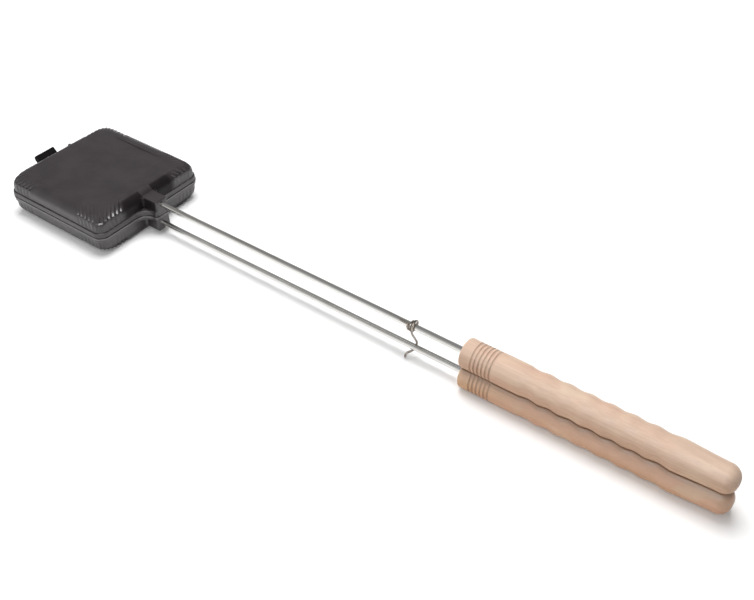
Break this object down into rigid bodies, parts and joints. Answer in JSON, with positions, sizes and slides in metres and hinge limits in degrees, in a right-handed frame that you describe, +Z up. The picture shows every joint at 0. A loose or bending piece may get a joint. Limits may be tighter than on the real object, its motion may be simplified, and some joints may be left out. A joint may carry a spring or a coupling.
{
  "type": "pie iron",
  "caption": "Long-handled cast-iron pie iron: hinged square shells toast a filled sandwich over a fire, on steel rods with wooden handles and a wire latch.",
  "frame": {"origin": "centre of the head's flat base, on the surface it rests on", "axes": "+X from the head towards the handles, +Z up, so +Y completes a right-handed frame"},
  "size_m": [0.7276, 0.1288, 0.0476],
  "materials": {
    "cast_iron": "black seasoned cast iron, satin, with a fine cast grain",
    "rod_steel": "bright plated steel rod",
    "beech": "turned beech, sanded and unvarnished",
    "latch_wire": "plain drawn steel wire, slightly tarnished"
  },
  "bodies": {
    "lower_half": {"lower_shell": "cast_iron", "lower_rod": "rod_steel", "lower_handle": "beech"},
    "upper_half": {"upper_shell": "cast_iron", "upper_rod": "rod_steel", "upper_handle": "beech"},
    "latch": {"wire_latch": "latch_wire"}
  },
  "joints": [
    {"name": "head_hinge", "type": "hinge", "parent": "lower_half", "child": "upper_half", "pos_m": [-0.0755, -0.0078, 0.0322], "axis": [0, -1, 0], "range_deg": [0, 110]},
    {"name": "latch_swing", "type": "hinge", "parent": "upper_half", "child": "latch", "pos_m": [0.368, 0, 0.032], "axis": [1, 0, 0], "range_deg": [0, 160]}
  ]
}
